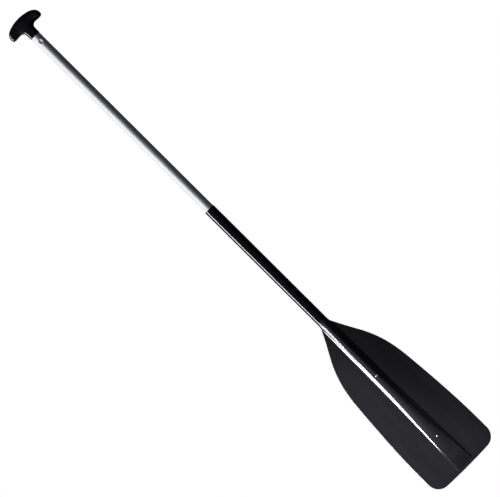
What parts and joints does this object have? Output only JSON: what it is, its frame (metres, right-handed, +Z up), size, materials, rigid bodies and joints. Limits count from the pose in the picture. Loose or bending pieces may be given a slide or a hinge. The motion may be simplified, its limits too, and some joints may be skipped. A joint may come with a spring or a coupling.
{
  "type": "canoe paddle",
  "caption": "T-grip canoe paddle: moulded grip, bare aluminium shaft with a vinyl sleeve, and a broad plastic blade with a long central rib.",
  "frame": {"origin": "on the ground under the middle of the paddle, which lies flat with one blade face up", "axes": "+X along the shaft from the grip to the tip of the blade, +Y across the blade, +Z up out of the blade face"},
  "size_m": [1.524, 0.198, 0.029],
  "materials": {
    "grip_plastic": "gloss",
    "anodised_aluminium": "satin",
    "vinyl_sleeve": "gloss",
    "blade_plastic": "satin",
    "rivet_aluminium": "satin",
    "closed_cell_foam": "matte"
  },
  "bodies": {
    "root": {"t_grip": "grip_plastic", "shaft_tube": "anodised_aluminium", "shaft_sleeve": "vinyl_sleeve", "blade": "blade_plastic", "blade_rivets": "rivet_aluminium", "upper_float_plug": "closed_cell_foam", "lower_float_plug": "closed_cell_foam"}
  },
  "joints": []
}
